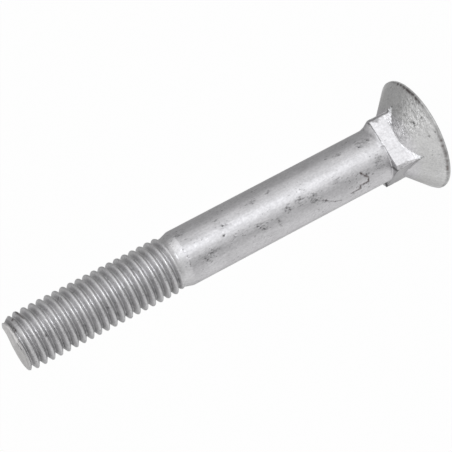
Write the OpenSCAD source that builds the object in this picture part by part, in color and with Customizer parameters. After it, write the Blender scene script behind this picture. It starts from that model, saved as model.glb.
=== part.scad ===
// Plow bolt with a flat countersunk head, a square neck and a coarse right-hand thread.
// It stands on the flat face of its head, and +Z runs up the shank to the threaded end.
// Lengths are in millimetres. The neck's flats face along X and Y.

/* [Head] */
// Diameter of the head over its rim
head_d = 24.7; // [22:0.1:30]
// Height of the upright rim between the flat face and the cone
rim_h = 0.5; // [0.3:0.05:1.5]
// Radius that rounds the rim into the flat face
rim_round = 0.25; // [0.1:0.05:0.3]
// Angle of the countersunk cone, from side to side
cone_angle = 90; // [80:1:100]

/* [Square neck] */
// Width of the neck across its flats
neck_af = 12.2; // [12.1:0.05:13]
// Width of the neck over its blunt corners
neck_corner_d = 16.3; // [15.8:0.1:17]
// Distance from the head's flat face to the end of the neck
neck_end = 10; // [9:0.1:14]
// Length of the slope that leads from the neck's corners down to the shank
neck_lead = 0.5; // [0.3:0.1:1.5]

/* [Shank] */
// Distance from the head's flat face to the threaded end
bolt_length = 95; // [75:1:140]
// Diameter of the plain shank
shank_d = 11.95; // [11.6:0.05:12]
// Diameter of the blank that the thread is rolled on, where the shank steps down
blank_d = 11.3; // [11:0.05:11.5]
// Length of the slope from the shank down to the blank
step_l = 1.2; // [0.5:0.1:2]

/* [Thread] */
// Outside diameter of the thread
thread_d = 12; // [11.8:0.05:12.2]
// Distance between neighbouring crests
pitch = 1.75; // [1.25:0.25:2]
// Angle between the two flanks of the groove
thread_angle = 60; // [55:1:60]
// Width of the crest between its flanks
crest_w = 0.22; // [0.15:0.01:0.3]
// Length from the foot of the slope to the threaded end
thread_l = 36.4; // [24:0.1:50]
// Diameter of the flat end inside its chamfer
end_d = 10.7; // [8.6:0.1:11]
// Number of turns over which the groove fades out beside the shank
runout_turns = 1.2; // [0.5:0.1:2]

/* [Hidden] */

$fn = 96;
// Steps around one turn of the thread
turn_steps = 32;
// Steps in the arc that rounds the rim
rim_steps = 4;
// Depth of a metric thread, for each millimetre of pitch
depth_ratio = 0.6134;
// How far the thread's core reaches down into the shank, and lies inside the blank's skin
core_overlap = 1;
core_inset = 0.05;
// Direction, seen from the threaded end, in which the first groove leaves the end face
thread_start_angle = 104;
// Least height that is kept between a row of the thread's points and a flat end
row_margin = 0.06;

head_r = head_d / 2;
shank_r = shank_d / 2;
blank_r = blank_d / 2;
core_r = blank_r - core_inset;
end_r = end_d / 2;
thread_foot = bolt_length - thread_l;
thread_depth = depth_ratio * pitch;
root_w = pitch - crest_w - 2 * thread_depth * tan(thread_angle / 2);
// The rows of points along one pitch, from the middle of a root: each one's share of the
// pitch, and 0 for the root or 1 for the crest
form_rows = [[root_w / 2 / pitch, 0], [0.5 - crest_w / 2 / pitch, 1],
             [0.5 + crest_w / 2 / pitch, 1], [1 - root_w / 2 / pitch, 0]];
pitch_rows = len(form_rows);

// Height at which the cone has narrowed to the radius r
function cone_height(r) = rim_h + (head_r - r) / tan(cone_angle / 2);

// Half outline of the forged and turned blank, from the flat face up to the thread's foot
function blank_outline() = concat(
    [[0, 0]],
    [for (i = [0 : rim_steps])
        let (a = 90 * i / rim_steps)
        [head_r - rim_round * (1 - sin(a)), rim_round * (1 - cos(a))]],
    [[head_r, rim_h],
     [shank_r, cone_height(shank_r)],
     [shank_r, thread_foot - step_l],
     [blank_r, thread_foot],
     [0, thread_foot]]
);

// Share of its full depth that the thread has at a height z, as it fades beside the shank
function runout(z) = min(1, max(0, (z - thread_foot) / (runout_turns * pitch)));

// Radius of the chamfer at a height z
function chamfer_r(z) = end_r + bolt_length - z;

// Row k of the column at step i follows the helix, so it keeps its place on the form.
function turn_of(k) = floor(k / pitch_rows);
function form_row(k) = form_rows[k - pitch_rows * turn_of(k)];
function row_z(i, k) = bolt_length + pitch * (turn_of(k) + form_row(k)[0] + i / turn_steps);
function row_r(i, k) =
    let (z = row_z(i, k),
         full = thread_d / 2 - thread_depth * (1 - form_row(k)[1]))
    min(core_r + (full - core_r) * runout(z), chamfer_r(z));

// First row of the column at step i that isn't below the height z
function row_above(i, z) =
    let (place = (z - bolt_length) / pitch - i / turn_steps, cell = floor(place))
    cell * pitch_rows + len([for (row = form_rows) if (row[0] < place - cell) row]);
function first_row(i) = row_above(i, thread_foot + row_margin);
function last_row(i) = row_above(i, bolt_length - row_margin) - 1;

// Points of one column: the core's foot, the rows, and the rim of the flat end
function ring_point(i, r, z) =
    let (a = thread_start_angle + 360 * i / turn_steps)
    [r * cos(a), r * sin(a), z];
function column(i) = concat(
    [ring_point(i, core_r, thread_foot - core_overlap)],
    [for (k = [first_row(i) : last_row(i)]) ring_point(i, row_r(i, k), row_z(i, k))],
    [ring_point(i, end_r, bolt_length)]
);

// Place in the list of points where each column begins, and of the points in a column.
// One whole turn on, a row is the one that started a pitch higher.
columns = [for (i = [0 : turn_steps - 1]) column(i)];
function column_start(i) = i == 0 ? 0 : column_start(i - 1) + len(columns[i - 1]);
starts = [for (i = [0 : turn_steps]) column_start(i)];
function foot_at(i) = starts[i % turn_steps];
function end_at(i) = starts[i % turn_steps + 1] - 1;
function row_at(i, k) =
    i == turn_steps ? row_at(0, k + pitch_rows) : starts[i] + 1 + k - first_row(i);

// Faces between the columns at steps i and i + 1, each wound clockwise from outside
function strip(i) =
    let (j = i + 1, low = first_row(i), high = last_row(i),
         next_low = first_row(j), next_high = last_row(j))
    concat(
        [[foot_at(i), row_at(j, next_low), foot_at(j)],
         [foot_at(i), row_at(i, low), row_at(j, next_low)]],
        next_low < low ? [[row_at(i, low), row_at(j, low), row_at(j, next_low)]] : [],
        [for (k = [low : next_high - 1]) each
            [[row_at(i, k), row_at(j, k + 1), row_at(j, k)],
             [row_at(i, k), row_at(i, k + 1), row_at(j, k + 1)]]],
        next_high < high ? [[row_at(i, next_high), row_at(i, high), row_at(j, next_high)]] : [],
        [[row_at(i, high), end_at(j), row_at(j, next_high)],
         [row_at(i, high), end_at(i), end_at(j)]]
    );

// Head, plain shank and step, as one turned form
module blank() {
    rotate_extrude() polygon(blank_outline());
}

// Square neck, with its corners rounded and led down to the shank
module neck() {
    corner_r = neck_corner_d / 2;
    intersection() {
        translate([-neck_af / 2, -neck_af / 2, rim_h])
            cube([neck_af, neck_af, neck_end - rim_h]);
        rotate_extrude()
            polygon([[0, rim_h],
                     [corner_r, rim_h],
                     [corner_r, neck_end - neck_lead],
                     [shank_r, neck_end],
                     [0, neck_end]]);
    }
}

// Rolled right-hand thread, with its run-out beside the shank and its chamfered end
module thread() {
    foot_face = [for (i = [0 : turn_steps - 1]) foot_at(i)];
    end_face = [for (i = [turn_steps - 1 : -1 : 0]) end_at(i)];
    polyhedron(
        points = [for (points = columns) each points],
        faces = concat([foot_face, end_face], [for (i = [0 : turn_steps - 1]) each strip(i)]),
        convexity = 10
    );
}

// The whole bolt is one piece of galvanised steel.
module plow_bolt() {
    color([0.72, 0.73, 0.74])
        union() {
            blank();
            neck();
            thread();
        }
}

plow_bolt();
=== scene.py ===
import math

import bpy
import numpy as np
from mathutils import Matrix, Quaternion, Vector, noise


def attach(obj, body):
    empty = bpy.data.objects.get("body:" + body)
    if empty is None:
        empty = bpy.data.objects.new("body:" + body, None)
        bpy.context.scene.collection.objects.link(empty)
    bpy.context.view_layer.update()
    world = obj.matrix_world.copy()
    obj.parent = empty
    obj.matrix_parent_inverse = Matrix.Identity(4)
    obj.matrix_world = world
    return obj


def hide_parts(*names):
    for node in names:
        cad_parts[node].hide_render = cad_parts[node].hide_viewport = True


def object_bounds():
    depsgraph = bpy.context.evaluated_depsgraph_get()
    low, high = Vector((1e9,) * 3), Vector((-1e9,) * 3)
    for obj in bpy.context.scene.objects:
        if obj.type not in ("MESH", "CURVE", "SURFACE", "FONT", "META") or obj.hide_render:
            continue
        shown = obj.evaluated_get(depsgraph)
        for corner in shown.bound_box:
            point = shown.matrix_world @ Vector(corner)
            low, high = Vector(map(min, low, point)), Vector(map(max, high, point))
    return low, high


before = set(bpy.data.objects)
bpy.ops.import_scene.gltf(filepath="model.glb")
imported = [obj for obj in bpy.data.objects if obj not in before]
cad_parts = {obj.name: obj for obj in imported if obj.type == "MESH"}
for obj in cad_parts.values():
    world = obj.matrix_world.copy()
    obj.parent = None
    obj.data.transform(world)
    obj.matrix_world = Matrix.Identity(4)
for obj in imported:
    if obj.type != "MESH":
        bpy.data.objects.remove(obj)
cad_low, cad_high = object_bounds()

# ---------------------------------------------------------------------------------------
# The steel blank: flat countersunk head, square neck and plain shank, forged cold from one
# bar. It is turned here from its half outline, then its neck's four flats are pressed in.
# Lengths are in millimetres until the very end.
# ---------------------------------------------------------------------------------------
MM = 0.001
LENGTH = cad_high.z / MM
HEAD_R = cad_high.x / MM - 0.03     # leaves room for the zinc on the rim
RIM_ROUND = 0.22
RIM_H = 0.5
SHANK_R = 5.975
STEP_LOW, STEP_HIGH = 57.25, 59.0   # the slope from the shank down to the thread's blank
CORE_R = 5.45
THREAD_FOOT = 59.1
NECK_HALF = 6.1                     # from the axis to each flat
NECK_END = 9.9
AROUND = 192                        # faces round the blank
CAMERA_SIDE = math.radians(-101.5)  # marks are counted from here, towards the lower right
JOINT_ROW = 5.6                     # the ring that is moved to where flats and cone meet


def between(low, high, gap):
    """Evenly spaced values from low up to, but without, high, about gap apart."""
    count = max(1, round((high - low) / gap))
    return [low + (high - low) * i / count for i in range(count)]


def half_outline():
    """Radius and height of each ring, from the middle of the flat face to the thread."""
    flat_r = HEAD_R - RIM_ROUND
    face = [(r, 0.0) for r in between(0.0, flat_r, 0.7)]
    rim = [(flat_r + RIM_ROUND * math.sin(a), RIM_ROUND * (1 - math.cos(a)))
           for a in between(0.0, math.pi / 2, math.pi / 10)]
    cone_top = RIM_H + HEAD_R - SHANK_R
    heights = (between(RIM_ROUND, 1.4, 0.09) + between(1.4, 3.6, 0.17)
               + between(3.6, JOINT_ROW, 0.15) + between(JOINT_ROW, 7.4, 0.15)
               + between(7.4, NECK_END, 0.2) + [NECK_END]
               + between(NECK_END + 0.04, 11.2, 0.09) + between(11.2, STEP_LOW - 0.08, 0.45)
               + between(STEP_LOW - 0.08, STEP_LOW, 0.08)
               + between(STEP_LOW, STEP_HIGH, 0.2) + [STEP_HIGH])
    side = []
    for z in heights:
        if z < RIM_H:
            r = HEAD_R
        elif z < cone_top:
            r = HEAD_R - (z - RIM_H)
        else:
            slope = min(1.0, max(0.0, (z - STEP_LOW) / (STEP_HIGH - STEP_LOW)))
            r = SHANK_R + (CORE_R - SHANK_R) * slope
        side.append((r, z))
    return face + rim + side


def turn(name, outline, steps, climb=0.0, turns=1):
    """Turns an outline about the bolt's axis. With a climb it becomes a screw."""
    mesh = bpy.data.meshes.new(name)
    mesh.from_pydata([(r, 0, z) for r, z in outline],
                     [(i, i + 1) for i in range(len(outline) - 1)], [])
    piece = bpy.data.objects.new(name, mesh)
    bpy.context.collection.objects.link(piece)
    bpy.ops.object.select_all(action="DESELECT")
    piece.select_set(True)
    bpy.context.view_layer.objects.active = piece
    screw = piece.modifiers.new("turn", "SCREW")
    screw.axis = "Z"
    screw.angle = math.tau
    screw.steps = screw.render_steps = steps
    screw.screw_offset = climb
    screw.iterations = turns
    bpy.ops.object.modifier_apply(modifier=screw.name)
    bpy.ops.object.mode_set(mode="EDIT")
    bpy.ops.mesh.select_all(action="SELECT")
    bpy.ops.mesh.remove_doubles(threshold=0.002)
    bpy.ops.mesh.normals_make_consistent(inside=False)
    bpy.ops.object.mode_set(mode="OBJECT")
    return piece


def read_points(piece):
    """Radius, direction and height of every point of a mesh."""
    flat = np.empty(len(piece.data.vertices) * 3)
    piece.data.vertices.foreach_get("co", flat)
    x, y, z = flat.reshape(-1, 3).T
    return np.hypot(x, y), np.arctan2(y, x), z.copy()


def write_points(piece, r, angle, z):
    """Moves every point of a mesh to a radius, direction and height."""
    points = np.stack([r * np.cos(angle), r * np.sin(angle), z], axis=1)
    piece.data.vertices.foreach_set("co", points.ravel())
    piece.data.update()


def ramp(value, low, high):
    """Smooth step from 0 at low to 1 at high."""
    t = np.clip((value - low) / (high - low), 0.0, 1.0)
    return t * t * (3 - 2 * t)


def swing(angle, middle):
    """Degrees from the middle, which is counted from the camera's side, to each angle."""
    return (np.degrees(CAMERA_SIDE - angle) - middle + 180) % 360 - 180


def ragged(seed, across, along=0.0):
    """Noise from -1 to 1 at places that are counted in lengths of its grain."""
    places = zip(across.tolist(), np.broadcast_to(along, across.shape).tolist())
    return np.array([noise.noise(Vector((seed * 7.3, u, v))) for u, v in places])


# The corners of the neck: direction, reach, share that drops off sharply at the end of the
# flats, and length of the slope that follows. The die filled them unevenly.
CORNERS = ((-56.5, 8.14, 0.2, 1.15), (-146.5, 8.05, 0.7, 0.5),
           (123.5, 7.92, 0.8, 0.25), (33.5, 8.05, 0.9, 0.2))


def press_neck(piece):
    """Presses the four flats: the rings under the head become a rounded square."""
    r, angle, z = read_points(piece)
    # The head was upset a little askew.
    lean = 0.14 * np.sin(np.radians(swing(angle, 0.0)))
    r = r + lean * ramp(z, 0.5, 1.2) * (1 - ramp(z, 6.0, 7.0))
    r = r + np.minimum(lean, 0.0) * (1 - ramp(z, 0.5, 1.2)) * ramp(r, 11.0, 12.0)
    # Rings near the neck crowd their points towards its corners.
    crowd = ramp(z, 2.0, 4.0) * (1 - ramp(z, 10.9, 11.5))
    angle = angle + 0.15 * crowd * np.sin(4 * angle)
    turned = (angle + math.pi / 4) % (math.pi / 2) - math.pi / 4
    square = NECK_HALF / np.cos(turned)
    drop = np.ones_like(r)
    slope = np.ones_like(r)
    for place, (middle, reach, sharp, fall) in enumerate(CORNERS):
        off = swing(angle, middle)
        tear = (0.12 * ragged(place, z / 0.6, off / 9)
                + 0.09 * ragged(place + 9, z / 0.24, off / 5))
        full = 0.3 * (1 - ramp(z, 7.2, 7.6)) * (middle == 33.5)
        blunt = (reach + full + tear * ramp(z, 4.0, 4.6)) / np.cos(np.radians(off))
        near = np.abs(off) < 45
        square = np.where(near, np.minimum(square, blunt), square)
        drop[near] = sharp
        slope[near] = fall
    # One ring follows the line where the flats meet the cone.
    joint = RIM_H + HEAD_R + lean - square
    pull = ramp(z, 2.4, JOINT_ROW) * (1 - ramp(z, JOINT_ROW, 8.8))
    on_joint = np.abs(z - JOINT_ROW) < 0.02
    moved = z + (joint - JOINT_ROW) * pull
    cone = RIM_H + HEAD_R + lean - moved
    kept = (1 - drop * (z > NECK_END + 0.02)) * (1 - ramp(z, NECK_END + 0.02, NECK_END + slope))
    under = SHANK_R + (square - SHANK_R) * kept
    neck = np.maximum(cone, under)
    neck = np.where(on_joint, square, neck)
    inside = (z > 2.0) & (z < 11.8)
    r = np.where(inside, np.where(z > 2.4, neck, cone), r)
    z = np.where(inside, moved, z)
    write_points(piece, r, angle, z)


blank = turn("plow_bolt_forging", half_outline(), AROUND)
press_neck(blank)

# The thread: rolled on the blank, right-hand, with full round crests and narrow roots.
PITCH = 1.75
THREAD_R = 5.97
CREST_ROUND = 0.3                  # radii of the crest and of the root
ROOT_ROUND = 0.14
FLANK = math.radians(60)            # lean of each flank from the axis
RUNOUT = 0.85 * PITCH
THREAD_STEPS = 96
END_Z = LENGTH - 0.42               # the end face, which a lip of rolled metal overtops
END_R = 5.33
END_SHIFT = 0.22                    # the end was sheared off a little beside the axis
END_ROUND = 0.2
COLLAR_W = 0.12                     # the rim of metal that the rolling pushed over the end
COLLAR_SLOPE = 2.5
CHAMFER_SLOPE = 0.62
CREST_Z = 93.14                     # height of a crest where the camera faces the thread


def thread_profile():
    """One pitch of the thread at the +X side, from root to root."""
    crest_w = CREST_ROUND * math.sin(FLANK)
    root_w = PITCH / 2 - ROOT_ROUND * math.sin(FLANK)
    crest_drop = CREST_ROUND * (1 - math.cos(FLANK))
    bottom = crest_drop + (root_w - crest_w) * math.tan(FLANK)
    half = [(CREST_ROUND * math.sin(a), CREST_ROUND * (1 - math.cos(a)))
            for a in (0.0, FLANK / 3, FLANK * 2 / 3, FLANK)]
    half.append((crest_w + (root_w - crest_w) / 2, crest_drop + (bottom - crest_drop) / 2))
    half += [(PITCH / 2 - ROOT_ROUND * math.sin(a),
              bottom + ROOT_ROUND * (math.cos(a) - math.cos(FLANK)))
             for a in (FLANK, FLANK / 2, 0.0)]
    crest_z = CREST_Z - PITCH * CAMERA_SIDE / math.tau
    crest_z -= PITCH * math.ceil((crest_z - THREAD_FOOT) / PITCH + 1)
    lower = [(THREAD_R - drop, crest_z - w) for w, drop in reversed(half)]
    return lower + [(THREAD_R - drop, crest_z + w) for w, drop in half[1:]]


def roll_thread(piece):
    """Lets the groove run out beside the shank, and rolls the end over in a collar."""
    r, angle, z = read_points(piece)
    r = CORE_R + (r - CORE_R) * ramp(z, THREAD_FOOT, THREAD_FOOT + RUNOUT)
    end_r = END_R + END_SHIFT * np.sin(np.radians(swing(angle, 0.0)))
    r = np.maximum(r, end_r - np.maximum(0, END_Z - COLLAR_W - z) * COLLAR_SLOPE)
    r = np.minimum(r, end_r + np.maximum(0, END_Z - 0.2 - z) * CHAMFER_SLOPE)
    edge = np.clip((z - END_Z + END_ROUND) / END_ROUND, 0, 1)
    r = r - END_ROUND * (1 - np.sqrt(1 - edge ** 2)) * (z > END_Z - END_ROUND)
    write_points(piece, r, angle, z)


profile = thread_profile()
TURNS = math.ceil((LENGTH - profile[0][1]) / PITCH) + 1
thread = turn("plow_bolt_thread", profile, THREAD_STEPS, climb=PITCH, turns=TURNS)
roll_thread(thread)
bpy.ops.object.mode_set(mode="EDIT")
bpy.ops.mesh.select_all(action="SELECT")
bpy.ops.mesh.bisect(plane_co=(0, 0, THREAD_FOOT), plane_no=(0, 0, 1), clear_inner=True)
bpy.ops.mesh.select_all(action="SELECT")
bpy.ops.mesh.bisect(plane_co=(0, 0, END_Z), plane_no=(0, 0, 1), clear_outer=True)
bpy.ops.mesh.select_all(action="DESELECT")
bpy.ops.object.mode_set(mode="OBJECT")


def select_open_ring(piece, low, high):
    """Selects the open edges of a mesh between two heights, in edit mode."""
    bpy.ops.object.mode_set(mode="EDIT")
    bpy.ops.mesh.select_mode(type="EDGE")
    bpy.ops.mesh.select_all(action="DESELECT")
    bpy.ops.mesh.select_non_manifold(extend=False, use_wire=False, use_multi_face=False,
                                     use_non_contiguous=False, use_verts=False)
    bpy.ops.object.mode_set(mode="OBJECT")
    points = piece.data.vertices
    for edge in piece.data.edges:
        if edge.select:
            edge.select = all(low < points[v].co.z < high for v in edge.vertices)
    for point in points:
        point.select = False
    for edge in piece.data.edges:
        if edge.select:
            for v in edge.vertices:
                points[v].select = True
    bpy.ops.object.mode_set(mode="EDIT")


# The two are joined at the thread's foot, and the end face is drawn inwards in rings.
bpy.ops.object.select_all(action="DESELECT")
thread.select_set(True)
blank.select_set(True)
bpy.context.view_layer.objects.active = blank
bpy.ops.object.join()
bolt = blank
bolt.name = "galvanised_plow_bolt"
select_open_ring(bolt, STEP_HIGH - 0.05, THREAD_FOOT + 0.05)
bpy.ops.mesh.bridge_edge_loops()
bpy.ops.object.mode_set(mode="OBJECT")
select_open_ring(bolt, END_Z - 0.05, END_Z + 0.05)
END_RINGS = 17
for ring in range(END_RINGS):
    bpy.ops.mesh.extrude_region_move(TRANSFORM_OT_translate={"value": (0, 0, 0)})
    shrink = 1 - 1 / (END_RINGS + 1 - ring)
    bpy.ops.transform.resize(value=(shrink, shrink, 1), center_override=(0, 0, END_Z))
bpy.ops.mesh.merge(type="CENTER")
bpy.ops.mesh.select_all(action="SELECT")
bpy.ops.mesh.normals_make_consistent(inside=False)
bpy.ops.object.mode_set(mode="OBJECT")

# The zinc lies in soft lumps, which two sheets of clouds push into the skin.
for lump, depth in ((2.2, 0.02), (0.5, 0.012)):
    clouds = bpy.data.textures.new("zinc_lumps", "CLOUDS")
    clouds.noise_scale = lump
    clouds.noise_depth = 1
    push = bolt.modifiers.new("zinc_lumps", "DISPLACE")
    push.texture = clouds
    push.texture_coords = "LOCAL"
    push.strength = depth
    bpy.ops.object.modifier_apply(modifier=push.name)

# Where pits, cracks and scratches lie: height, and degrees from the camera's side.
# Each cluster of pits also has its reach along and round the bolt and its number of pits.
PITS = ((41.4, 16.0, 0.9, 0.7, 26), (40.3, 25.0, 0.7, 0.6, 12), (34.3, 12.0, 1.1, 0.7, 30),
        (31.2, 9.0, 1.1, 0.6, 22), (28.0, 18.0, 1.4, 1.0, 26), (22.4, 9.5, 1.1, 0.5, 14),
        (48.6, 0.5, 0.25, 0.15, 5), (47.8, -17.6, 0.6, 0.6, 9), (48.5, -34.5, 0.2, 0.2, 3),
        (46.7, 14.0, 0.8, 0.5, 10), (52.0, 19.0, 1.7, 0.5, 34), (54.0, 24.0, 1.3, 1.0, 20),
        (36.0, -36.0, 0.7, 0.3, 10), (40.0, -33.5, 1.0, 0.5, 12), (21.8, -42.5, 0.3, 0.3, 5),
        (19.3, -38.0, 0.7, 0.3, 9), (12.8, -37.0, 1.8, 0.8, 26), (14.2, -31.0, 0.9, 0.4, 12),
        (12.4, 14.0, 0.9, 1.2, 30), (55.9, -48.0, 0.9, 0.3, 12), (36.9, 27.0, 0.4, 0.8, 7),
        (3.25, -13.5, 0.3, 0.6, 16), (3.6, -17.5, 0.15, 0.2, 5), (1.75, -12.3, 0.25, 0.3, 7),
        (2.1, 9.0, 0.16, 0.3, 6), (0.95, 7.1, 0.12, 0.25, 4), (25.2, 170.0, 1.4, 0.9, 22),
        (44.0, 140.0, 1.2, 0.9, 18), (16.5, -120.0, 1.0, 0.8, 16), (50.5, -150.0, 1.1, 0.7, 18),
        (33.0, 105.0, 1.1, 0.8, 14), (28.5, -100.0, 1.3, 0.6, 14), (3.0, 150.0, 0.5, 0.9, 14))
CRACKS = (((16.9, 18.5), (16.5, 24.0), (15.65, 32.5), (15.9, 42.3), (17.8, 41.7), (17.9, 49.2),
           (20.1, 49.8)),
          ((27.6, 27.0), (26.0, 34.5), (24.0, 48.4), (22.6, 53.5)),
          ((37.2, 27.0), (37.1, 31.0), (36.5, 41.0)),
          ((57.25, 13.0), (57.4, 23.5)),
          ((30.5, 160.0), (29.0, 168.0), (29.8, 176.0), (27.5, -176.0)))
CRACK_WIDTHS = (0.2, 0.12, 0.09, 0.12, 0.14)
CRACK_GRIME = (1.0, 0.55, 0.3, 0.55, 0.7)
BLOTS = ((16.9, 19.0, 0.3, 0.9), (15.9, 25.0, 0.22, 0.9), (26.0, 34.5, 0.26, 0.9),
         (24.0, 48.4, 0.2, 0.7), (18.0, 45.0, 0.2, 0.6), (41.1, 20.5, 0.22, 0.8),
         (34.4, 10.0, 0.22, 0.8), (33.9, 15.5, 0.2, 0.8), (48.7, 0.5, 0.22, 0.75),
         (3.15, -13.0, 0.2, 0.7), (2.1, 9.3, 0.16, 0.6), (0.96, 7.1, 0.14, 0.7),
         (93.35, -54.0, 0.32, 0.8), (94.05, -31.0, 0.22, 0.8), (89.4, 10.0, 0.3, 0.7),
         (94.15, -39.0, 0.2, 0.6), (93.0, -60.0, 0.25, 0.45),
         (83.5, -53.0, 0.25, 0.5), (76.0, 20.0, 0.25, 0.5), (68.0, -30.0, 0.25, 0.5),
         # The first blot below, at the foot of the neck's corner, is a painted shadow under that
         # corner's step.
         (9.8, 116.0, 0.5, 0.8), (9.95, 38.0, 0.3, 0.6), (17.0, 17.0, 0.25, 0.8),
         (56.95, -47.5, 0.28, 0.5), (56.5, -44.8, 0.22, 0.5), (55.8, -43.3, 0.24, 0.35),
         (56.2, -58.5, 0.2, 0.45), (57.4, -13.3, 0.16, 0.4), (57.25, 3.0, 0.16, 0.45),
         (57.25, 6.5, 0.12, 0.35), (56.4, -51.0, 0.4, 0.25))
SPREAD_SEED = 7


def fine_faces(piece, wanted, cuts):
    """Cuts the faces whose middles are wanted into smaller ones."""
    middles = np.empty(len(piece.data.polygons) * 3)
    piece.data.polygons.foreach_get("center", middles)
    x, y, z = middles.reshape(-1, 3).T
    chosen = wanted(np.hypot(x, y), np.arctan2(y, x), z)
    bpy.ops.object.mode_set(mode="EDIT")
    bpy.ops.mesh.select_mode(type="FACE")
    bpy.ops.mesh.select_all(action="DESELECT")
    bpy.ops.object.mode_set(mode="OBJECT")
    piece.data.polygons.foreach_set("select", chosen)
    bpy.ops.object.mode_set(mode="EDIT")
    bpy.ops.mesh.subdivide(number_cuts=cuts)
    bpy.ops.mesh.select_all(action="DESELECT")
    bpy.ops.object.mode_set(mode="OBJECT")


def apart(r, angle, z, at_z, at_azimuth):
    """How far places on the skin lie from a mark, along the bolt and round it."""
    stretch = np.where(z < 5.5, math.sqrt(2), 1.0)
    return (z - at_z) * stretch, np.radians(swing(angle, at_azimuth)) * r


def line_distance(angle, z, points):
    """Distance over the shank's skin from a line of marks."""
    best = np.full_like(z, 99.0)
    for (z0, a0), (z1, a1) in zip(points, points[1:]):
        step_z = z1 - z0
        step_a = math.radians((a1 - a0 + 180) % 360 - 180) * SHANK_R
        away_z, away_a = z - z0, np.radians(swing(angle, a0)) * SHANK_R
        share = (away_z * step_z + away_a * step_a) / (step_z ** 2 + step_a ** 2)
        share = np.clip(share, 0, 1)
        best = np.minimum(best, np.hypot(away_z - share * step_z, away_a - share * step_a))
    return best


def smooth_skin(z):
    """The shank and the cone, without the neck and the thread, as a mask."""
    return ((z > 10.6) & (z < STEP_HIGH)) | ((z > 0.3) & (z < 4.8))


def near_marks(r, angle, z):
    """Whether a place lies on or beside a mark."""
    found = np.zeros(len(z), dtype=bool)
    for z0, a0, along, around, count in PITS:
        away_z, away_a = apart(r, angle, z, z0, a0)
        reach_z, reach_a = along * 1.35 + 0.2, around * 1.35 + 0.2
        found |= (away_z / reach_z) ** 2 + (away_a / reach_a) ** 2 < 1
    for points in CRACKS:
        found |= line_distance(angle, z, points) < 0.45
    found &= smooth_skin(z)
    for z0, a0, size, depth in BLOTS:
        away_z, away_a = apart(r, angle, z, z0, a0)
        found |= np.hypot(away_z, away_a) < size + 0.15
    return found


def near_rim(r, angle, z):
    """Whether a place lies on the fold beside the rim that the camera sees."""
    return (z > 0.25) & (z < 1.2) & (r > 10.0) & (np.abs(swing(angle, -5)) < 80)


fine_faces(bolt, near_marks, 2)
fine_faces(bolt, near_rim, 1)
fine_faces(bolt, lambda r, angle, z: (z > END_Z - 0.02) & (r > 1.0), 1)
r, angle, z = read_points(bolt)
turned = swing(angle, 0.0)
grime = np.zeros_like(r)            # dirt and scale that lies in the cracks
brown = np.zeros_like(r)            # how far that is rust
pitted = np.zeros_like(r)           # where the zinc is full of fine dark specks
# This also holds painted light and painted shade, which are set further down.
tone_and_painted_light = np.ones_like(r)              # how light or dark the zinc is, against its plain grey
skin = smooth_skin(z)


def sector(middle, half, sharp=4):
    """1 in the middle of a sector of the bolt, fading out round its half width in degrees."""
    return np.exp(-(swing(angle, middle) / half) ** sharp)


spread = np.random.default_rng(SPREAD_SEED)
for z0, a0, along, around, count in PITS:
    away_z, away_a = apart(r, angle, z, z0, a0)
    cluster = np.exp(-((away_z / (along * 1.1)) ** 2 + (away_a / (around * 1.1)) ** 2))
    pitted = np.maximum(pitted, cluster)
    for _ in range(count):
        shift_z, shift_a = spread.normal(0, along * 0.6), spread.normal(0, around * 0.6)
        size = spread.uniform(0.07, 0.15)
        hole = np.exp(-(((away_z - shift_z) / (size * 1.6)) ** 2 + ((away_a - shift_a) / size) ** 2))
        r = r - hole * size * 0.22 * skin
        grime = np.maximum(grime, hole * spread.uniform(0.15, 0.6) * skin)
smudged = np.clip(0.6 + 1.3 * ragged(35, z / 0.9, turned / 5), 0, 1.4)
tone_and_painted_light = tone_and_painted_light * (1 - (0.18 + 0.16 * (z < 20.0)) * pitted * skin * smudged)
streaky = sector(17.0, 10, 2) * np.clip(0.35 + ragged(34, z / 3.0), 0, 0.75)
pitted = np.maximum(pitted, streaky)
for z0, a0, size, depth in BLOTS:
    away_z, away_a = apart(r, angle, z, z0, a0)
    hole = np.exp(-((away_z ** 2 + away_a ** 2) / size ** 2) ** 1.5)
    r = r - hole * 0.05 * skin
    grime = np.maximum(grime, hole * depth)
    brown = np.maximum(brown, 0.5 * hole * (z0 > 90))
wander = 0.1 * ragged(31, z / 0.5, turned / 5) + 0.08 * ragged(32, z / 0.2, turned / 2)
patchy = 0.75 + 0.5 * ragged(33, z / 0.4, turned / 6)
for points, width, dirt in zip(CRACKS, CRACK_WIDTHS, CRACK_GRIME):
    away = np.maximum(line_distance(angle, z, points) + wander, 0)
    gap = np.clip(np.exp(-(away / width) ** 2) * patchy, 0, 1) * skin
    r = r - gap * 0.09 * (width / 0.2)
    grime = np.maximum(grime, gap * dirt)
    brown = np.maximum(brown, gap * 0.7 * dirt)

# One crest near the end is scored.
scored = line_distance(angle, z, ((91.85, -74.0), (91.8, -62.0), (91.69, -51.0), (91.5, -39.5)))
scored = np.exp(-((scored + 0.4 * wander) / 0.17) ** 2)
grime = np.maximum(grime, 0.85 * scored)
brown = np.maximum(brown, 0.4 * scored)

# The rim's fold: the metal cracked a little where it was squeezed out between the dies.
fold_z = 0.66 + 0.12 * ragged(41, turned / 7) + 0.1 * ragged(42, turned / 1.6)
torn = sector(-46.0, 24)
creased = sector(34.0, 27)
elsewhere = 0.5 * np.clip(ragged(43, turned / 11), 0, 1) * (np.abs(turned) > 75)
opened = torn + 0.8 * creased + elsewhere
opened = np.clip(opened * (0.8 + 1.5 * ragged(44, turned / 2.6)), 0, 1)
fold_w = 0.11 + 0.15 * torn + 0.17 * creased
fold = np.exp(-((z - fold_z) / fold_w) ** 2) * opened * (r > 10.5)
r = r - 0.1 * fold
grime = np.maximum(grime, (0.88 - 0.2 * creased) * fold)
brown = np.maximum(brown, (0.25 + 0.5 * creased) * fold)
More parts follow.
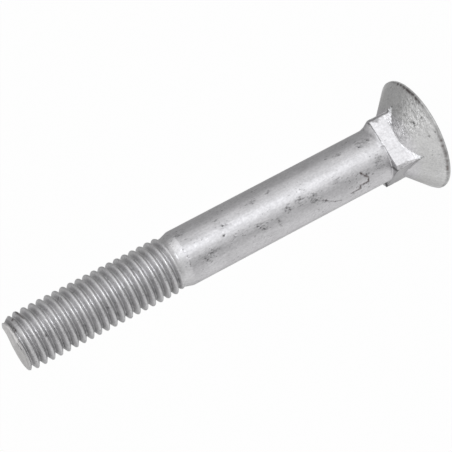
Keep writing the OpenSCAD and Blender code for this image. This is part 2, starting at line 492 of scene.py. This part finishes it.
# The outer band of the rim is darkened all round with painted shade.
land_shade = ramp(r, HEAD_R - 0.55, HEAD_R - 0.1) * (z < 1.0) * (z > 0.02)
tone_and_painted_light = tone_and_painted_light * (1 - 0.28 * land_shade * (0.8 + 0.5 * ragged(45, turned / 4)))

# The cone was wrinkled on one side by the dies and is smooth on the other.
on_cone = (z > 0.9) & (z < 6.5) & (r > 6.3)
tone_and_painted_light = tone_and_painted_light * (1 + 0.08 * on_cone * sector(60.0, 50))
rumpled = np.where(on_cone, sector(-22.0, 27) + 0.6 * sector(165.0, 40), 0.0)
tone_and_painted_light = tone_and_painted_light * (1 + 0.05 * rumpled * (z < 3.2))
washed = np.exp(-(swing(angle, -37.0) / 9) ** 2 - ((z - 4.3) / 1.6) ** 2) * on_cone
tone_and_painted_light = tone_and_painted_light * (1 - 0.16 * washed * (0.8 + 0.8 * ragged(46, z / 0.7, turned / 5)))

# The pressed flats are smooth inside a ragged edge, and darker beyond it, partly from the duller
# corners and partly as painted shade. Each flat has its own painted light level, lighter on the flat
# towards the camera and darker on the one below it. The small steps down to the shank are darkened
# with painted shade.
CLEAN_HALF = 5.45                   # from a flat's middle line to its ragged edge
clean = np.zeros_like(r)
for facing, painted_light_level in ((-math.pi / 2, 1.13), (math.pi, 0.69), (math.pi / 2, 1.05), (0.0, 0.95)):
    height = r * np.cos(angle - facing)
    across = r * np.sin(angle - facing)
    notch = 0.75 * np.exp(-((z - 8.5) / 0.75) ** 2) * (across > 0)
    low_edge = 0.5 * ramp(z, 8.0, 7.4) * (across < 0)
    ragged_edge = CLEAN_HALF - notch + low_edge + 0.3 * ragged(52, z / 0.45, across / 6)
    slack = 0.4 if facing == -math.pi / 2 else 0.08
    on_flat = (height > NECK_HALF - slack) & (height < NECK_HALF + 0.15)
    on_flat &= (z > 3.6) & (z < NECK_END + 0.03)
    on_flat &= np.abs(across) < 6.3
    inside = ramp(ragged_edge - np.abs(across), -0.06, 0.1)
    # Beyond the ragged edge the flat is darker: partly a duller finish, partly painted shade.
    dull = np.where((facing == -math.pi / 2) & (across < 0), 0.96, 0.62)
    tone_and_painted_light = np.where(on_flat, tone_and_painted_light * (dull + (painted_light_level - dull) * inside), tone_and_painted_light)
    clean = np.where(on_flat, inside, clean)
# Painted shade darkens the small steps down to the shank.
step_shade = (z > NECK_END + 0.01) & (z < NECK_END + 0.16) & (r > SHANK_R + 0.15)
tone_and_painted_light = np.where(step_shade, tone_and_painted_light * 0.55, tone_and_painted_light)

# Flash torn from a flat at two corners lies up the cone in thin slivers.
for middle, tip_z, root_z, rise in ((31.5, 3.3, 5.2, 0.45), (-55.5, 4.1, 5.0, 0.2)):
    off = swing(angle, middle)
    near = (np.abs(off) < 6) & (z > tip_z - 0.3) & (z < root_z + 0.1)
    climb = 1 - ramp(z, tip_z, root_z)
    flat_side = np.cos(angle + math.pi / 2)
    plane = (NECK_HALF + 0.1 + rise * climb) / np.maximum(flat_side, 0.3)
    sliver = 2.6 + 1.6 * ragged(51, z / 0.35) - 2.2 * climb
    outer = off if middle > 0 else -off
    lifted = near & (plane > r) & (plane < r + 0.6) & (outer < sliver) & (z > tip_z)
    r = np.where(lifted, plane, r)
    tone_and_painted_light = np.where(lifted, 0.58 + 0.4 * ragged(53, z / 0.3, off / 2), tone_and_painted_light)

# The lower one is cracked along its root.
flap_z = 5.5 + 0.2 * ragged(54, turned / 4)
flap = np.exp(-((z - flap_z) / 0.08) ** 2) * (np.abs(swing(angle, 32.0)) < 9)
tone_and_painted_light = tone_and_painted_light * (1 - 0.4 * flap * (r * np.cos(angle + math.pi / 2) < NECK_HALF + 0.2))

# The cut end: sheared a little out of square, with a lip of rolled metal on one side.
END_TILT = 0.13
LIP_RISE = 0.4
near_end = ramp(z, END_Z - 0.28, END_Z - 0.1)
askew = np.cos(np.radians(swing(angle, -5.0)))
z = z + near_end * END_TILT * askew * ramp(r, 2.0, 5.4)
lip = sector(-98.0, 42) * ramp(r, 3.6, 5.0)
z = z + near_end * LIP_RISE * lip
x, y = r * np.cos(angle), r * np.sin(angle)
face = ramp(z, END_Z - 0.25, END_Z - 0.05)
z = z + face * (0.05 * ragged(61, x / 1.3, y / 1.3) + 0.03 * ragged(62, x / 0.4, y / 0.4))
rubbed = sector(-25.0, 40) * ramp(r, 2.6, 3.4) * ramp(r, 5.5, 5.2) * face
tone_and_painted_light = tone_and_painted_light * (1 + 0.6 * rubbed * (0.7 + 0.9 * ragged(63, x / 0.5, y / 0.5)))
for nick_x, nick_y, half_l, turn_by in ((-0.7, -2.9, 0.45, 0.95), (-1.8, -3.7, 0.6, 0.62)):
    run_x, run_y = math.cos(turn_by), math.sin(turn_by)
    off_l = (x - nick_x) * run_x + (y - nick_y) * run_y
    off_w = (y - nick_y) * run_x - (x - nick_x) * run_y
    nick = np.exp(-(off_l / half_l) ** 4 - (off_w / 0.36) ** 2) * face
    z = z - 0.1 * nick
    grime = np.maximum(grime, 0.9 * nick)

# The groove behind the rim of the cut end is cut deeper and darker, with some brown dirt in it, and
# the rim itself and the thread's end on one side are darker.
shown = ramp(np.abs(swing(angle, -15.0)), 95.0, 75.0)
groove_z = CREST_Z - PITCH * swing(angle, 0.0) / 360 + 0.62
groove = np.exp(-((z - groove_z) / 0.2) ** 2) * shown * (1 - face)
deeper = sector(-72.0, 42)
r = r - 0.2 * groove * deeper
tone_and_painted_light = tone_and_painted_light * (1 - (0.3 + 0.2 * deeper) * groove * (1 + 0.5 * ragged(64, turned / 7)))
brown = np.maximum(brown, 0.5 * groove * deeper)
grime = np.maximum(grime, 0.22 * groove * deeper)
rim_edge = np.exp(-((r - 5.25) / 0.14) ** 2) * face * ramp(np.abs(swing(angle, -40.0)), 100.0, 80.0)
tone_and_painted_light = tone_and_painted_light * (1 - 0.3 * rim_edge * (1 + ragged(65, turned / 6)))
tone_and_painted_light = tone_and_painted_light * (1 - 0.14 * ramp(z, 92.0, 93.2) * sector(-52.0, 26))

# Painted highlights and painted shade lie in broad bands along the shank, on the slope down to the
# thread and on the thread. They are fixed on the bolt, and were tuned for how it looks under the
# lamps.
# The shank's lit strip is painted a little lighter low down and darker towards the thread.
painted_shank_band = sector(-10.0, 16, 2) * (z > 11.0) * (z < STEP_LOW)
fading = 0.035 - 0.08 * ramp(z, 20.0, 50.0) - 0.07 * ramp(z, 48.0, 55.0)
tone_and_painted_light = tone_and_painted_light * (1 + painted_shank_band * fading)
on_slope = ramp(z, STEP_LOW - 0.05, STEP_LOW + 0.1) * ramp(z, THREAD_FOOT, THREAD_FOOT - 0.25)
# Painted highlight on the slope down to the thread, on two sides.
slope_highlight = 0.48 * sector(-32.0, 17) + 0.15 * sector(26.0, 22)
tone_and_painted_light = tone_and_painted_light * (1 + on_slope * slope_highlight * (1 + 0.3 * ragged(67, z / 0.5, turned / 6)))
# The thread is painted lighter on its lit side and a little darker elsewhere.
lit_side = ramp(swing(angle, 0.0), 6.0, -8.0)
on_thread = ramp(z, THREAD_FOOT, THREAD_FOOT + 1.0)
tone_and_painted_light = tone_and_painted_light * (1 + on_thread * (0.1 * lit_side - 0.05))
# Painted shade dims the thread's glints towards the camera, and a painted highlight lightens it
# beside them.
glint_shade = sector(-6.0, 8, 2) - 0.7 * sector(-25.0, 9, 2)
tone_and_painted_light = tone_and_painted_light * (1 - 0.08 * on_thread * glint_shade)

# Painted shade darkens the thread's roots on one side.
winding = (z - CREST_Z) / PITCH + swing(angle, 0.0) / 360
from_root = (winding - 0.43 + 0.5) % 1 - 0.5
root_shade = np.exp(-(from_root / 0.12) ** 2) * ramp(swing(angle, 85.0), -65.0, -35.0)
root_shade = root_shade * ramp(swing(angle, 85.0), 60.0, 30.0) * on_thread * (z < 92.5)
tone_and_painted_light = tone_and_painted_light * (1 - 0.5 * root_shade * (0.9 + 0.8 * ragged(66, z / 0.9, turned / 8)))

# Two spots at the ends of the shank are too light under the lamps, and painted shade darkens them.
HOT_SPOTS = ((STEP_HIGH + 0.05, 0.3, -9.0, 15, 0.3), (NECK_END + 0.3, 0.5, -16.0, 14, 0.26))
for spot_z, reach_z, spot_side, spot_half, spot_shade in HOT_SPOTS:
    hot = np.exp(-((z - spot_z) / reach_z) ** 4 - (swing(angle, spot_side) / spot_half) ** 4)
    tone_and_painted_light = tone_and_painted_light * (1 - spot_shade * hot)

r = np.minimum(r, cad_high.x / MM - 0.002)
z = np.clip(z, 0.0, LENGTH - 0.002)
write_points(bolt, r, angle, z)
masks = (("grime", grime), ("brown", brown), ("pitted", pitted * skin - clean), ("tone_and_painted_light", tone_and_painted_light),
         ("rumpled", rumpled), ("cut_face", face))
for name, values in masks:
    layer = bolt.data.attributes.new(name, "FLOAT", "POINT")
    layer.data.foreach_set("value", values)

SHARPEST_SMOOTH = math.radians(38)
bolt.scale = (MM, MM, MM)
bpy.ops.object.transform_apply(location=True, rotation=True, scale=True)
bpy.ops.object.shade_smooth_by_angle(angle=SHARPEST_SMOOTH)

# The zinc coat: satin grey metal, with a fine grain, streaks along the shank, wrinkles on the cone
# with painted shade and light in them, small dark specks, and scale in the cracks. The level that
# the mesh carries also holds painted light and shade.
zinc = bpy.data.materials.new("galvanised_zinc")
zinc.use_nodes = True
nodes, links = zinc.node_tree.nodes, zinc.node_tree.links
shader = nodes["Principled BSDF"]
shader.inputs["Metallic"].default_value = 1.0
place = nodes.new("ShaderNodeTexCoord")
WRINKLES = (1.0, 2.6, 2.6)          # short across the cone and long round it
CURL = 0.7                          # how far the wrinkles are bent
RELIEF_DEPTH = 0.045 * MM


def cloud(name, stretch, detail):
    """Noise on the bolt. stretch is how many grains there are to a millimetre each way."""
    fit = nodes.new("ShaderNodeMapping")
    fit.inputs["Scale"].default_value = [v / MM for v in stretch]
    links.new(place.outputs["Object"], fit.inputs["Vector"])
    grain = nodes.new("ShaderNodeTexNoise")
    grain.name = name
    grain.inputs["Scale"].default_value = 1.0
    grain.inputs["Detail"].default_value = detail
    links.new(fit.outputs[0], grain.inputs["Vector"])
    return grain.outputs["Fac"]


def spread_over(value, low, high, to_low, to_high):
    """Maps a range of a value to another, smoothly and within its ends."""
    remap = nodes.new("ShaderNodeMapRange")
    remap.interpolation_type = "SMOOTHSTEP"
    for socket, number in zip(("From Min", "From Max", "To Min", "To Max"),
                              (low, high, to_low, to_high)):
        remap.inputs[socket].default_value = number
    links.new(value, remap.inputs["Value"])
    return remap.outputs[0]


def sums(kind, first, second):
    """The sum, product or greater of two values, of which the second may be a number."""
    node = nodes.new("ShaderNodeMath")
    node.operation = kind
    links.new(first, node.inputs[0])
    if isinstance(second, float):
        node.inputs[1].default_value = second
    else:
        links.new(second, node.inputs[1])
    return node.outputs[0]


def painted(name):
    """A value that the mesh carries at its points."""
    layer = nodes.new("ShaderNodeAttribute")
    layer.attribute_name = name
    return layer.outputs["Fac"]


heights = nodes.new("ShaderNodeSeparateXYZ")
links.new(place.outputs["Object"], heights.inputs[0])
above_neck = spread_over(heights.outputs["Z"], 10 * MM, 13 * MM, 0.0, 1.0)
below_thread = spread_over(heights.outputs["Z"], 57 * MM, 59 * MM, 1.0, 0.0)
on_shank = sums("MULTIPLY", above_neck, below_thread)

mottle = spread_over(cloud("mottle", (0.35, 0.35, 0.22), 4.0), 0.3, 0.7, 0.955, 1.04)
streaks = spread_over(cloud("streaks", (2.6, 2.6, 0.16), 3.0), 0.3, 0.7, 0.96, 1.035)
grain = spread_over(cloud("grain", (2.9, 2.9, 2.0), 3.0), 0.3, 0.7, 0.91, 1.07)
speck = cloud("specks", (2.6, 2.6, 1.7), 3.0)
speck = sums("ADD", speck, sums("MULTIPLY", painted("pitted"), 0.07))
speck = spread_over(speck, 0.59, 0.71, 0.0, 1.0)
crowded = spread_over(cloud("crowding", (0.35, 0.35, 0.14), 2.0), 0.46, 0.6, 0.22, 0.75)
crowded = sums("MAXIMUM", crowded, painted("pitted"))
specks = spread_over(sums("MULTIPLY", speck, crowded), 0.0, 1.0, 1.0, 0.4)
# The wrinkles on the cone get painted shade in their hollows and painted light on their crests, from
# the same noise as their bumps.
wrinkle_shading = spread_over(cloud("wrinkle_shade", WRINKLES, 3.0), 0.36, 0.6, -0.26, 0.16)
nodes["wrinkle_shade"].inputs["Distortion"].default_value = CURL
wrinkle_shading = sums("ADD", sums("MULTIPLY", wrinkle_shading, painted("rumpled")), 1.0)
specks = sums("MULTIPLY", specks, wrinkle_shading)
level = sums("MULTIPLY", sums("MULTIPLY", mottle, streaks), sums("MULTIPLY", grain, specks))
level = sums("MULTIPLY", level, painted("tone_and_painted_light"))


def blend(kind, share, first, second):
    """Mixes two colours, each a link or a plain colour."""
    node = nodes.new("ShaderNodeMix")
    node.data_type = "RGBA"
    node.blend_type = kind
    for socket, value in (("Factor", share), ("A", first), ("B", second)):
        if isinstance(value, (float, tuple)):
            node.inputs[socket].default_value = value
        else:
            links.new(value, node.inputs[socket])
    return node.outputs["Result"]


off_cone = spread_over(heights.outputs["Z"], 4 * MM, 5.5 * MM, 0.0, 1.0)
plain = blend("MIX", off_cone, (0.591, 0.589, 0.586, 1), (0.588, 0.582, 0.594, 1))
plain = blend("MIX", below_thread, (0.588, 0.584, 0.591, 1), plain)
bare = blend("MIX", painted("cut_face"), plain, (0.606, 0.597, 0.594, 1))
zinc_grey = blend("MULTIPLY", 1.0, bare, level)
scale = blend("MIX", painted("brown"), (0.055, 0.052, 0.055, 1), (0.12, 0.065, 0.05, 1))
coat = blend("MIX", painted("grime"), zinc_grey, scale)
links.new(coat, shader.inputs["Base Color"])

satin = spread_over(cloud("satin", (0.9, 0.9, 0.5), 3.0), 0.3, 0.7, 0.4, 0.5)
satin = sums("ADD", satin, sums("MULTIPLY", painted("grime"), 0.25))
links.new(sums("ADD", satin, sums("MULTIPLY", painted("cut_face"), 0.2)), shader.inputs["Roughness"])

drawn = sums("MULTIPLY", cloud("drawn", (3.2, 3.2, 0.3), 2.0), on_shank)
folds = cloud("wrinkles", WRINKLES, 3.0)
nodes["wrinkles"].inputs["Distortion"].default_value = CURL
wrinkles = sums("MULTIPLY", folds, painted("rumpled"))
relief = sums("ADD", sums("MULTIPLY", wrinkles, 5.0), sums("MULTIPLY", drawn, 0.35))
skin_relief = sums("MULTIPLY", cloud("orange_peel", (1.3, 1.3, 1.1), 2.0), 0.6)
skin_relief = sums("ADD", skin_relief, sums("MULTIPLY", cloud("tooth", (3.4, 3.4, 3.4), 2.0), 0.25))
off_thread = spread_over(heights.outputs["Z"], 58 * MM, 60 * MM, 1.0, 0.35)
relief = sums("ADD", relief, sums("MULTIPLY", skin_relief, off_thread))
bump = nodes.new("ShaderNodeBump")
bump.inputs["Strength"].default_value = 1.0
bump.inputs["Distance"].default_value = RELIEF_DEPTH
links.new(relief, bump.inputs["Height"])
links.new(bump.outputs[0], shader.inputs["Normal"])
bolt.data.materials.clear()
bolt.data.materials.append(zinc)

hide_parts("plow_bolt")
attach(bolt, "root")

# ---------------------------------------------------------------------------------------
# The floor: a wide sheet of white board that the bolt stands on, head down.
# It shows as white to the camera and in the metal, and keeps a soft shadow.
# ---------------------------------------------------------------------------------------
FLOOR_SIZE = 6.0
FLOOR_GAP = 0.00002                 # the floor lies this far under the head's flat face
FLOOR_WHITE = 0.97
WALL_LIGHT = 0.8                    # how strongly the room lights the bolt
bpy.ops.mesh.primitive_plane_add(size=FLOOR_SIZE, location=(0, 0, -FLOOR_GAP))
floor = bpy.context.object
floor.name = "white_floor"
board = bpy.data.materials.new("white_board")
board.use_nodes = True
nodes, links = board.node_tree.nodes, board.node_tree.links
nodes.clear()


def shown_ray():
    """1 for a ray from the camera, or off metal or through glass, and 0 for any other."""
    rays = nodes.new("ShaderNodeLightPath").outputs
    direct = sums("MAXIMUM", rays["Is Camera Ray"], rays["Is Glossy Ray"])
    return sums("MAXIMUM", direct, rays["Is Transmission Ray"])


glow = nodes.new("ShaderNodeEmission")
glow.inputs["Strength"].default_value = 1.0
paint = nodes.new("ShaderNodeBsdfDiffuse")
paint.inputs["Color"].default_value = (0.9, 0.9, 0.9, 1)
mix = nodes.new("ShaderNodeMixShader")
links.new(sums("MULTIPLY", shown_ray(), FLOOR_WHITE), mix.inputs[0])
links.new(paint.outputs[0], mix.inputs[1])
links.new(glow.outputs[0], mix.inputs[2])
out = nodes.new("ShaderNodeOutputMaterial")
links.new(mix.outputs[0], out.inputs["Surface"])
floor.data.materials.append(board)

# The room round it is white to the camera and in the metal, and a little dimmer as a light.
world = bpy.data.worlds.new("studio")
bpy.context.scene.world = world
world.use_nodes = True
nodes, links = world.node_tree.nodes, world.node_tree.links
nodes.clear()
room = nodes.new("ShaderNodeMapRange")
room.inputs["To Min"].default_value = WALL_LIGHT
room.inputs["To Max"].default_value = 1.0
links.new(shown_ray(), room.inputs["Value"])
sky = nodes.new("ShaderNodeBackground")
links.new(room.outputs[0], sky.inputs["Strength"])
out = nodes.new("ShaderNodeOutputWorld")
links.new(sky.outputs[0], out.inputs["Surface"])

# ---------------------------------------------------------------------------------------
# The light: a low soft box beside the camera, and a wide one above.
# Black flags stand round the bolt, as for any shiny piece, so that its form reads.
# ---------------------------------------------------------------------------------------
def toward(azimuth, distance, height):
    """A point at an angle from the camera's side, counted towards the lower right."""
    angle = CAMERA_SIDE - math.radians(azimuth)
    return Vector((distance * math.cos(angle), distance * math.sin(angle), height))


def soft_box(name, at, aim, size, size_y, watts, colour):
    """A rectangular lamp that the camera doesn't see."""
    bpy.ops.object.light_add(type="AREA", location=at)
    lamp = bpy.context.object
    lamp.name = name
    lamp.data.shape = "RECTANGLE"
    lamp.data.size = size
    lamp.data.size_y = size_y
    lamp.data.energy = watts
    lamp.data.color = colour
    lamp.rotation_mode = "QUATERNION"
    lamp.rotation_quaternion = (aim - at).to_track_quat("-Z", "Y")
    lamp.visible_camera = False


COOL = (0.95, 0.97, 1.0)
NEUTRAL = (1.0, 1.0, 1.0)
soft_box("key_light", toward(-15, 1.2, 0.09), Vector((0, 0, 0.05)), 0.3, 0.16, 3.95, COOL)
soft_box("top_light", toward(10, 0.15, 0.7), Vector((0, 0, 0.03)), 0.6, 0.6, 0.4, NEUTRAL)


def flag(name, low_azimuth, high_azimuth, distance, height, shade):
    """A curved upright card, with a foot towards the bolt, that only shows in the metal."""
    steps = 12
    foot_in, foot_height = 0.02, 0.0005
    points, faces = [], []
    for i in range(steps + 1):
        azimuth = low_azimuth + (high_azimuth - low_azimuth) * i / steps
        points.append(toward(azimuth, foot_in, foot_height))
        points.append(toward(azimuth, distance, foot_height))
        points.append(toward(azimuth, distance, height))
    for i in range(steps):
        for row in (0, 1):
            k = 3 * i + row
            faces.append((k, k + 1, k + 4, k + 3))
    mesh = bpy.data.meshes.new(name)
    mesh.from_pydata(points, [], faces)
    card = bpy.data.objects.new(name, mesh)
    bpy.context.collection.objects.link(card)
    felt = bpy.data.materials.new(name)
    felt.use_nodes = True
    felt.node_tree.nodes.clear()
    dull = felt.node_tree.nodes.new("ShaderNodeEmission")
    dull.inputs["Color"].default_value = (shade, shade, shade, 1)
    out = felt.node_tree.nodes.new("ShaderNodeOutputMaterial")
    felt.node_tree.links.new(dull.outputs[0], out.inputs["Surface"])
    mesh.materials.append(felt)
    card.visible_camera = False
    card.visible_diffuse = False
    card.visible_shadow = False


flag("black_flag", -150, -75, 0.16, 0.22, 0.44)
flag("grey_flag", 25, 60, 0.2, 0.12, 0.55)
flag("side_flag", 60, 138, 0.3, 0.2, 0.95)
flag("back_flag", 138, 210, 0.4, 0.25, 0.5)

# ---------------------------------------------------------------------------------------
# The camera looks down past the threaded end, and is rolled so that the head is up right.
# ---------------------------------------------------------------------------------------
CAMERA_AT = Vector((-75.71, -379.51, 156.68)) * MM
LOOK_AZIMUTH = math.radians(78.5)
LOOK_DOWN = math.radians(16.007)
ROLL = math.radians(117.784)
FOCAL = 2000 / 452                  # focal length in widths of the frame
SENSOR = 36.0

bpy.ops.object.camera_add(location=CAMERA_AT)
camera = bpy.context.object
look = Vector((math.cos(LOOK_AZIMUTH) * math.cos(LOOK_DOWN),
               math.sin(LOOK_AZIMUTH) * math.cos(LOOK_DOWN), -math.sin(LOOK_DOWN)))
upright = look.to_track_quat("-Z", "Y")
camera.rotation_mode = "QUATERNION"
camera.rotation_quaternion = upright @ Quaternion((0, 0, 1), -ROLL)
camera.data.sensor_width = SENSOR
camera.data.lens = FOCAL * SENSOR
camera.data.clip_start = 0.01
bpy.context.scene.camera = camera
bpy.context.scene.view_settings.view_transform = "Standard"
